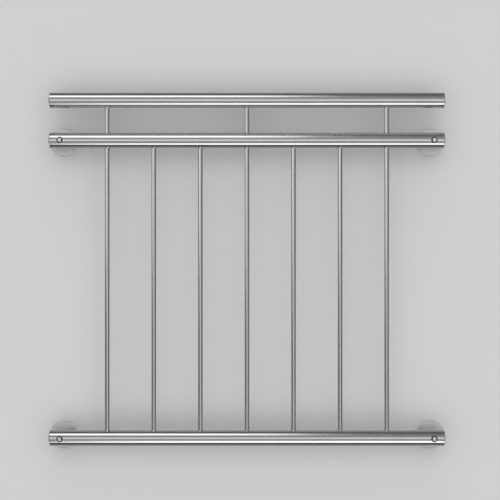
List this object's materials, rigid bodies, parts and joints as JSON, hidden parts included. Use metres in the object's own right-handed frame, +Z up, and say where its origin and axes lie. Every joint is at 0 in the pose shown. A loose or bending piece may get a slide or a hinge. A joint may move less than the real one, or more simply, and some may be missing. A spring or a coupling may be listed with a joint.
{
  "type": "juliet balcony",
  "caption": "Stainless steel guard for a floor-length window: three round rails, slim upright bars and bolted wall brackets with round flanges.",
  "frame": {"origin": "centre of the lower left flange, on the face that lies against the wall", "axes": "+X along the rails to the right as seen from outside, +Y into the wall, +Z up"},
  "size_m": [1.02, 0.0956, 0.915],
  "materials": {
    "rail_steel": "satin ground round the tube",
    "bar_steel": "satin ground round the bar",
    "cap_steel": "turned and satin ground",
    "bracket_steel": "turned and fine ground",
    "fastener_steel": "cold formed and tumbled"
  },
  "bodies": {
    "root": {"top_rail": "rail_steel", "top_rail_left_cap": "cap_steel", "top_rail_right_cap": "cap_steel", "upper_rail": "rail_steel", "upper_rail_left_cap": "cap_steel", "upper_rail_right_cap": "cap_steel", "lower_rail": "rail_steel", "lower_rail_left_cap": "cap_steel", "lower_rail_right_cap": "cap_steel", "left_strut": "bar_steel", "centre_strut": "bar_steel", "right_strut": "bar_steel", "left_end_bar": "bar_steel", "right_end_bar": "bar_steel", "infill_bar_1": "bar_steel", "infill_bar_2": "bar_steel", "infill_bar_3": "bar_steel", "infill_bar_4": "bar_steel", "infill_bar_5": "bar_steel", "upper_left_flange": "bracket_steel", "upper_left_stand_off": "bracket_steel", "upper_left_washer": "fastener_steel", "upper_left_bolt": "fastener_steel", "upper_right_flange": "bracket_steel", "upper_right_stand_off": "bracket_steel", "upper_right_washer": "fastener_steel", "upper_right_bolt": "fastener_steel", "lower_left_flange": "bracket_steel", "lower_left_stand_off": "bracket_steel", "lower_left_washer": "fastener_steel", "lower_left_bolt": "fastener_steel", "lower_right_flange": "bracket_steel", "lower_right_stand_off": "bracket_steel", "lower_right_washer": "fastener_steel", "lower_right_bolt": "fastener_steel"}
  },
  "joints": []
}
